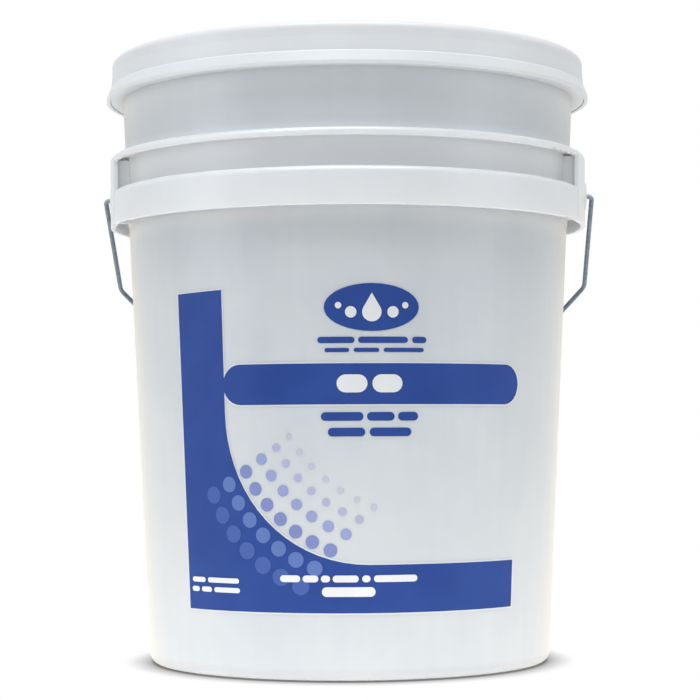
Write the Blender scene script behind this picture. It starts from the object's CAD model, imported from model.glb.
import math

import bpy
import bmesh
from mathutils import Matrix, Vector

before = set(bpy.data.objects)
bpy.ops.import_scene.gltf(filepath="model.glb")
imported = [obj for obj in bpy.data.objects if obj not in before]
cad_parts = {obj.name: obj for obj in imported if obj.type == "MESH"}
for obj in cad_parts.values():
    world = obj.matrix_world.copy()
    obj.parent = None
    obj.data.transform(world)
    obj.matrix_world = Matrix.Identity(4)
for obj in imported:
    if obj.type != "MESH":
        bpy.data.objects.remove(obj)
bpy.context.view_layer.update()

MM = 0.001

# Camera: level, in front of the print and a little towards the +X ear
CAMERA_DISTANCE = 1309 * MM
CAMERA_HEIGHT = 143.9 * MM
CAMERA_YAW = math.radians(2.0)
CAMERA_ROLL = math.radians(-0.29)
FOCAL_MM = 105.0
SENSOR_MM = 36.0
SHIFT_X = 0.0014
SHIFT_Y = 0.12

# The wall's cone, as in part.scad: radius at the floor and slope
BASE_R = 127.1 * MM
WALL_SLOPE = math.tan(math.radians(2.56))
BAND_LOW = 274.5 * MM
RIB_TOP = 318.8 * MM

# Tone of the natural polyethylene, from the single wall's (0) to the doubled wall's (1)
RING_SHARE = 0.65  # on the rings' faces
NECK_SHARE = 0.3  # on the wall above the rib
RING_START = 0.5 * MM  # how far out of the wall the rings' tone starts
RING_FULL = 7 * MM  # and where it is full
BAND_FADE = (-12 * MM, 5 * MM)  # the doubled tone's start, about the band's lower edge
RIB_FADE = (-4 * MM, 8 * MM)  # and its end, about the rib's upper edge
FOOT_FADE = 9 * MM
FOOT_TONE = 0.78

# Most of a noise lies between these two values
NOISE_LOW = 0.3
NOISE_HIGH = 0.7

# Halftone: its arc's middle and radius, the bend of its rows, and where each row crosses the
# diagonal, as in part.scad
PRINT_R = 133 * MM
SWOOP_R = 88 * MM
SWOOP_S = 16.5 * MM
SWOOP_Z = 156.2 * MM
DOT_BEND_R = 96 * MM
DOT_ROWS = (0.520, 0.640, 0.774, 0.923, 1.087, 1.248)  # of SWOOP_R
DOT_TONES = ("#B8BFCD", "#AAAECD", "#929BC8", "#7B86BC", "#5973B0", "#415CA2")
DOT_REACH = 1.5  # of SWOOP_R, past the last row


# Nodes and colours

def linear(code):
    """An sRGB hex colour as linear red, green, blue and alpha."""
    channels = [int(code[i:i + 2], 16) / 255 for i in (1, 3, 5)]
    light = (c / 12.92 if c <= 0.04045 else ((c + 0.055) / 1.055) ** 2.4 for c in channels)
    return (*light, 1.0)


def add(tree, kind, settings=None, **links):
    """Adds a node. The settings are its own properties. The links are its input sockets, named as
    in Blender with _ for a space, or _0 for the first: each takes a value or a socket to follow."""
    node = tree.nodes.new("ShaderNode" + kind)
    for name, value in (settings or {}).items():
        setattr(node, name, value)
    for name, value in links.items():
        key = int(name[1:]) if name[1:].isdigit() else name.replace("_", " ")
        if isinstance(value, bpy.types.NodeSocket):
            tree.links.new(value, node.inputs[key])
        else:
            node.inputs[key].default_value = value
    return node


def material(name):
    """A node material with an empty tree, and that tree."""
    made = bpy.data.materials.new(name)
    made.use_nodes = True
    made.node_tree.nodes.clear()
    return made, made.node_tree


def finish_material(tree, shader):
    add(tree, "OutputMaterial", Surface=shader.outputs[0])


def object_coords(tree):
    return add(tree, "TexCoord").outputs["Object"]


def ramp(tree, factor, stops, interpolation="LINEAR"):
    """A colour ramp from (place, hex colour) stops."""
    node = add(tree, "ValToRGB", Fac=factor)
    node.color_ramp.interpolation = interpolation
    elements = node.color_ramp.elements
    while len(elements) < len(stops):
        elements.new(0.5)
    for element, (place, code) in zip(elements, stops):
        element.position = place
        element.color = linear(code)
    return node.outputs["Color"]


def noise(tree, coords, size_mm, detail=2.0, roughness=0.5):
    """Noise whose blobs are about size_mm across."""
    return add(tree, "TexNoise", Vector=coords, Scale=1 / (size_mm * MM), Detail=detail,
               Roughness=roughness).outputs["Fac"]


def stretched(tree, coords, x, y, z):
    return add(tree, "Mapping", Vector=coords, Scale=(x, y, z)).outputs["Vector"]


def spread(tree, factor, low, high):
    """A noise turned into values from low to high."""
    return add(tree, "MapRange", Value=factor, From_Min=NOISE_LOW, From_Max=NOISE_HIGH,
               To_Min=low, To_Max=high).outputs[0]


def fade(tree, place, start, end, low, high):
    """Passes smoothly from low at the place start to high at the place end."""
    return add(tree, "MapRange", {"interpolation_type": "SMOOTHSTEP"}, Value=place,
               From_Min=start, From_Max=end, To_Min=low, To_Max=high).outputs[0]


def bump(tree, height, depth_mm, strength=1.0):
    return add(tree, "Bump", Height=height, Distance=depth_mm * MM, Strength=strength).outputs["Normal"]


# Materials

def on_rings(tree, parts):
    """From 0 on the plain wall to 1 on the faces of the band and the rib."""
    flat = add(tree, "CombineXYZ", X=parts.outputs["X"], Y=parts.outputs["Y"])
    radius = add(tree, "VectorMath", {"operation": "LENGTH"}, _0=flat.outputs[0]).outputs["Value"]
    wall = add(tree, "Math", {"operation": "MULTIPLY_ADD"}, _0=parts.outputs["Z"],
               _1=WALL_SLOPE, _2=BASE_R)
    out = add(tree, "Math", {"operation": "SUBTRACT"}, _0=radius, _1=wall.outputs[0])
    return fade(tree, out.outputs[0], RING_START, RING_FULL, 0.0, 1.0)


def between_rings(tree, parts):
    """From 0 on the plain wall to 1 on the wall behind the band and the rib."""
    height = parts.outputs["Z"]
    above = fade(tree, height, BAND_LOW + BAND_FADE[0], BAND_LOW + BAND_FADE[1], 0.0, 1.0)
    below = fade(tree, height, RIB_TOP + RIB_FADE[0], RIB_TOP + RIB_FADE[1], 1.0, NECK_SHARE)
    return add(tree, "Math", {"operation": "MULTIPLY"}, _0=above, _1=below).outputs[0]


def natural_polyethylene():
    """High-density polyethylene, injection moulded, unpigmented: a milky, slightly clouded wall that
    lets some light in, with a waxy satin skin and the long faint flow marks of a deep moulding. The
    single wall lets light through and reads greyer than the rings, whose walls are doubled."""
    made, tree = material("natural_hdpe_moulded")
    place = object_coords(tree)
    cloud = noise(tree, place, 60, detail=3.0, roughness=0.6)
    flow = noise(tree, stretched(tree, place, 1, 1, 0.06), 9, detail=2.0)
    mixed = add(tree, "Mix", {"data_type": "FLOAT"}, Factor=0.25, _2=cloud, _3=flow).outputs[0]
    single = ramp(tree, mixed, [(0.30, "#C7CED3"), (0.50, "#CCD2D6"), (0.72, "#D2D7D9")])
    double = ramp(tree, mixed, [(0.30, "#EFF1F2"), (0.72, "#F4F5F6")])
    parts = add(tree, "SeparateXYZ", Vector=place)
    rings = on_rings(tree, parts)
    doubled = add(tree, "Mix", {"data_type": "FLOAT"}, Factor=rings, _2=between_rings(tree, parts),
                  _3=RING_SHARE).outputs[0]
    body = add(tree, "Mix", {"data_type": "RGBA"}, Factor=doubled, _6=single, _7=double).outputs[2]
    # The foot's corner stands in its own shade
    foot = fade(tree, parts.outputs["Z"], 0.0, FOOT_FADE, FOOT_TONE, 1.0)
    colour = add(tree, "Mix", {"data_type": "RGBA", "blend_type": "MULTIPLY"}, Factor=1.0, _6=body,
                 _7=foot).outputs[2]
    # Waxy bloom on the wall, which the rings' faces hardly have
    bloom = add(tree, "MapRange", Value=rings, From_Min=0.0, From_Max=1.0, To_Min=0.6, To_Max=0.05)
    skin = noise(tree, place, 2.2, detail=2.0)
    shader = add(tree, "BsdfPrincipled", Base_Color=colour, Roughness=spread(tree, cloud, 0.28, 0.38),
                 IOR=1.54, Normal=bump(tree, skin, 0.02, 0.5), Sheen_Weight=bloom.outputs[0],
                 Sheen_Roughness=0.4, Sheen_Tint=linear("#FFF4E4"), Subsurface_Weight=0.4,
                 Subsurface_Radius=(1.0, 0.95, 0.85), Subsurface_Scale=8 * MM)
    finish_material(tree, shader)
    return made


def white_polyethylene():
    """High-density polyethylene, injection moulded with white pigment: denser and whiter than the
    wall, with the same waxy skin."""
    made, tree = material("white_hdpe_moulded")
    place = object_coords(tree)
    cloud = noise(tree, place, 45, detail=3.0)
    colour = ramp(tree, cloud, [(NOISE_LOW, "#DFE1E3"), (NOISE_HIGH, "#E4E6E7")])
    skin = noise(tree, place, 1.8, detail=2.0)
    shader = add(tree, "BsdfPrincipled", Base_Color=colour, Roughness=spread(tree, cloud, 0.32, 0.42),
                 IOR=1.54, Normal=bump(tree, skin, 0.02, 0.5), Subsurface_Weight=0.15,
                 Subsurface_Radius=(1.0, 0.95, 0.9), Subsurface_Scale=3 * MM)
    finish_material(tree, shader)
    return made


def foam_rubber():
    """Foamed rubber, cast in the lid's channel: matt, with open pores about 0.4 mm across."""
    made, tree = material("foamed_rubber")
    place = object_coords(tree)
    pores = add(tree, "TexVoronoi", Vector=place, Scale=1 / (0.4 * MM)).outputs["Distance"]
    colour = ramp(tree, pores, [(0.0, "#B9B8B1"), (0.5, "#D6D5CE")])
    shader = add(tree, "BsdfPrincipled", Base_Color=colour, Roughness=0.85,
                 Normal=bump(tree, pores, 0.1, 0.6))
    finish_material(tree, shader)
    return made


def galvanised_steel():
    """Steel wire, hot-dip galvanised then drawn: dull grey zinc with soft patches about 3 mm across
    and fine marks along the wire."""
    made, tree = material("galvanised_steel_wire")
    place = object_coords(tree)
    patches = noise(tree, place, 3, detail=3.0)
    colour = ramp(tree, patches, [(NOISE_LOW, "#79828C"), (NOISE_HIGH, "#959EA8")])
    fine = noise(tree, place, 0.5, detail=1.0)
    shader = add(tree, "BsdfPrincipled", Base_Color=colour, Metallic=1.0,
                 Roughness=spread(tree, patches, 0.38, 0.54), Normal=bump(tree, fine, 0.02, 0.4))
    finish_material(tree, shader)
    return made


def grip_polypropylene():
    """Polypropylene, injection moulded, white: a little glossier than the pail, with a fine
    spark-eroded grain about 0.8 mm across."""
    made, tree = material("white_polypropylene_moulded")
    place = object_coords(tree)
    grain = noise(tree, place, 0.8, detail=2.0)
    cloud = noise(tree, place, 20, detail=2.0)
    colour = ramp(tree, cloud, [(NOISE_LOW, "#E9E9E6"), (NOISE_HIGH, "#F2F2EF")])
    shader = add(tree, "BsdfPrincipled", Base_Color=colour, Roughness=0.36, IOR=1.49,
                 Normal=bump(tree, grain, 0.05, 0.5))
    finish_material(tree, shader)
    return made


def screen_ink(name, colour_of):
    """Screen ink on flame-treated polyethylene: an even satin film with the faint mottle that the
    mesh leaves, drawn 1.5 mm across so that it shows."""
    made, tree = material(name)
    place = object_coords(tree)
    mottle = noise(tree, place, 1.5, detail=2.0)
    broad = noise(tree, place, 40, detail=2.0)
    shade = add(tree, "Mix", {"data_type": "RGBA", "blend_type": "MULTIPLY"}, Factor=1.0,
                _6=colour_of(tree, place), _7=spread(tree, broad, 0.96, 1.04)).outputs[2]
    shader = add(tree, "BsdfPrincipled", Base_Color=shade, Roughness=spread(tree, mottle, 0.42, 0.54),
                 IOR=1.33, Normal=bump(tree, mottle, 0.01, 0.4))
    finish_material(tree, shader)
    return made


def plain_blue(tree, place):
    return ramp(tree, noise(tree, place, 25, detail=2.0), [(NOISE_LOW, "#1F408A"), (NOISE_HIGH, "#254690")])


def plain_white(tree, place):
    return ramp(tree, noise(tree, place, 25, detail=2.0), [(NOISE_LOW, "#DCDFE2"), (NOISE_HIGH, "#E2E5E7")])


def dot_tones(tree, place):
    """The tone of each row of dots. A row lies on an arc about a middle that moves out along the
    diagonal, so the rows run side by side: the row is found by where its arc crosses the diagonal."""
    parts = add(tree, "SeparateXYZ", Vector=place)
    toward = add(tree, "Math", {"operation": "MULTIPLY"}, _0=parts.outputs["Y"], _1=-1.0)
    angle = add(tree, "Math", {"operation": "ARCTAN2"}, _0=parts.outputs["X"], _1=toward.outputs[0])
    across = add(tree, "Math", {"operation": "MULTIPLY_ADD"}, _0=angle.outputs[0], _1=PRINT_R,
                 _2=-SWOOP_S)
    up = add(tree, "Math", {"operation": "SUBTRACT"}, _0=parts.outputs["Z"], _1=SWOOP_Z)
    flat = add(tree, "CombineXYZ", X=across.outputs[0], Y=up.outputs[0]).outputs[0]
    # Along the diagonal (down and to the left) and square to it
    half = math.sqrt(0.5)
    down, side = (add(tree, "VectorMath", {"operation": "DOT_PRODUCT"}, _0=flat,
                      _1=along).outputs["Value"] for along in ((-half, -half, 0), (half, -half, 0)))
    # Distance from the middle at which this point's arc crosses the diagonal
    square = add(tree, "Math", {"operation": "POWER"}, _0=side, _1=2.0).outputs[0]
    rest = add(tree, "Math", {"operation": "SUBTRACT"}, _0=DOT_BEND_R ** 2, _1=square).outputs[0]
    sag = add(tree, "Math", {"operation": "SQRT"}, _0=rest).outputs[0]
    back = add(tree, "Math", {"operation": "SUBTRACT"}, _0=DOT_BEND_R, _1=sag).outputs[0]
    crossing = add(tree, "Math", {"operation": "ADD"}, _0=down, _1=back).outputs[0]
    share = add(tree, "MapRange", Value=crossing, From_Min=0.0, From_Max=DOT_REACH * SWOOP_R)
    # The tone changes midway between two rows
    starts = [0.0] + [(near + far) / 2 / DOT_REACH for near, far in zip(DOT_ROWS, DOT_ROWS[1:])]
    return ramp(tree, share.outputs[0], list(zip(starts, DOT_TONES)), "CONSTANT")


def dress(node, finish):
    """Gives a CAD node its finish."""
    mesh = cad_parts[node].data
    mesh.materials.clear()
    mesh.materials.append(finish)


dress("pail_body", natural_polyethylene())
dress("lid", white_polyethylene())
dress("lid_gasket", foam_rubber())
dress("bail_wire", galvanised_steel())
dress("bail_grip", grip_polypropylene())
dress("print_blue", screen_ink("blue_screen_ink", plain_blue))
dress("print_dots", screen_ink("tinted_screen_ink", dot_tones))
dress("print_white", screen_ink("white_screen_ink", plain_white))


# Camera, floor and light

def make_camera():
    made = bpy.data.objects.new("camera", bpy.data.cameras.new("camera"))
    bpy.context.scene.collection.objects.link(made)
    lens = made.data
    lens.lens = FOCAL_MM
    lens.sensor_width = SENSOR_MM
    lens.shift_x = SHIFT_X
    lens.shift_y = SHIFT_Y
    lens.clip_end = 100
    lens.dof.use_dof = False
    place = Vector((math.sin(CAMERA_YAW), -math.cos(CAMERA_YAW), 0)) * CAMERA_DISTANCE
    place.z = CAMERA_HEIGHT
    turn = (Matrix.Rotation(CAMERA_YAW, 4, "Z") @ Matrix.Rotation(math.radians(90), 4, "X")
            @ Matrix.Rotation(CAMERA_ROLL, 4, "Z"))
    made.matrix_world = Matrix.Translation(place) @ turn
    bpy.context.scene.camera = made


def backdrop_ray(tree):
    """One where the camera looks, directly or in a gloss or through glass, and zero for light."""
    path = add(tree, "LightPath")
    seen = add(tree, "Math", {"operation": "MAXIMUM"}, _0=path.outputs["Is Camera Ray"],
               _1=path.outputs["Is Glossy Ray"])
    return add(tree, "Math", {"operation": "MAXIMUM"}, _0=seen.outputs[0],
               _1=path.outputs["Is Transmission Ray"]).outputs[0]


FLOOR_HALF = 6.0
FLOOR_DROP = 0.2 * MM  # below the foot, so that the two don't share a plane
SHADOW_REACH = 20 * MM


def make_floor():
    """White studio floor that runs out of sight and keeps the pail's contact shadow."""
    shape = bmesh.new()
    bmesh.ops.create_grid(shape, x_segments=1, y_segments=1, size=FLOOR_HALF)
    bmesh.ops.translate(shape, verts=shape.verts, vec=(0, 0, -FLOOR_DROP))
    mesh = bpy.data.meshes.new("floor")
    shape.to_mesh(mesh)
    shape.free()
    made = bpy.data.objects.new("floor", mesh)
    bpy.context.scene.collection.objects.link(made)
    finish, tree = material("white_studio_floor")
    matt = add(tree, "BsdfDiffuse", Color=linear("#B4B6B8"))
    open_sky = add(tree, "AmbientOcclusion", {"samples": 16}, Distance=SHADOW_REACH).outputs["AO"]
    # Dark against the foot, white in the open
    shade = ramp(tree, open_sky, [(0.30, "#7C7C7C"), (0.62, "#D4D4D4"), (0.95, "#FFFFFF")])
    glow = add(tree, "Emission", Color=shade, Strength=1.0)
    mixed = add(tree, "MixShader", Fac=backdrop_ray(tree), _1=matt.outputs[0], _2=glow.outputs[0])
    finish_material(tree, mixed)
    mesh.materials.append(finish)


def make_world(ambient):
    """White studio: the camera sees plain white, the pail gets a weaker, slightly cool fill."""
    world = bpy.data.worlds.new("studio")
    bpy.context.scene.world = world
    world.use_nodes = True
    tree = world.node_tree
    tree.nodes.clear()
    fill = add(tree, "Background", Color=(0.97, 0.985, 1.0, 1), Strength=ambient)
    seen = add(tree, "Background", Color=(1, 1, 1, 1), Strength=1.0)
    mixed = add(tree, "MixShader", Fac=backdrop_ray(tree), _1=fill.outputs[0], _2=seen.outputs[0])
    add(tree, "OutputWorld", Surface=mixed.outputs[0])


def softbox(name, place, target, width, height, power, colour, shape="RECTANGLE", mirrored=True):
    """An area lamp, in metres and watts, that the camera doesn't see. One that isn't mirrored
    leaves no glint."""
    light = bpy.data.lights.new(name, "AREA")
    light.shape = shape
    light.size = width
    light.size_y = height
    light.energy = power
    light.color = linear(colour)[:3]
    made = bpy.data.objects.new(name, light)
    bpy.context.scene.collection.objects.link(made)
    made.location = place
    made.rotation_euler = (Vector(target) - Vector(place)).to_track_quat("-Z", "Y").to_euler()
    made.visible_camera = False
    made.visible_glossy = mirrored


make_camera()
make_floor()
make_world(ambient=0.43)
MIDDLE = (0, 0, 0.2)
COOL = "#F6FAFE"
WARM = "#FFF8F0"
softbox("left_softbox", (-1.4, -0.6, 0.6), MIDDLE, 0.8, 1.4, 5.2, COOL)
softbox("right_softbox", (1.4, -0.6, 0.6), MIDDLE, 0.8, 1.4, 3.3, COOL)
softbox("top_softbox", (0, -0.42, 1.9), (0, 0, 0.3), 1.4, 0.25, 11, COOL)
softbox("front_top_softbox", (0, -0.9, 1.8), (0, 0, 0.3), 1.2, 0.4, 9.5, COOL)
softbox("low_softbox", (0, -2.2, 0.1), (0, 0, 0.1), 2.4, 0.4, 3.0, COOL)
# The white floor, lit: two discs just above it, one wide and one close round the foot
softbox("light_table", (0, 0, 0.0005), (0, 0, 1), 1.3, 1.3, 2.6, WARM, "DISK", False)
softbox("base_light", (0, 0, 0.0008), (0, 0, 1), 0.7, 0.7, 0.98, WARM, "DISK", False)

bpy.context.scene.view_settings.view_transform = "Standard"
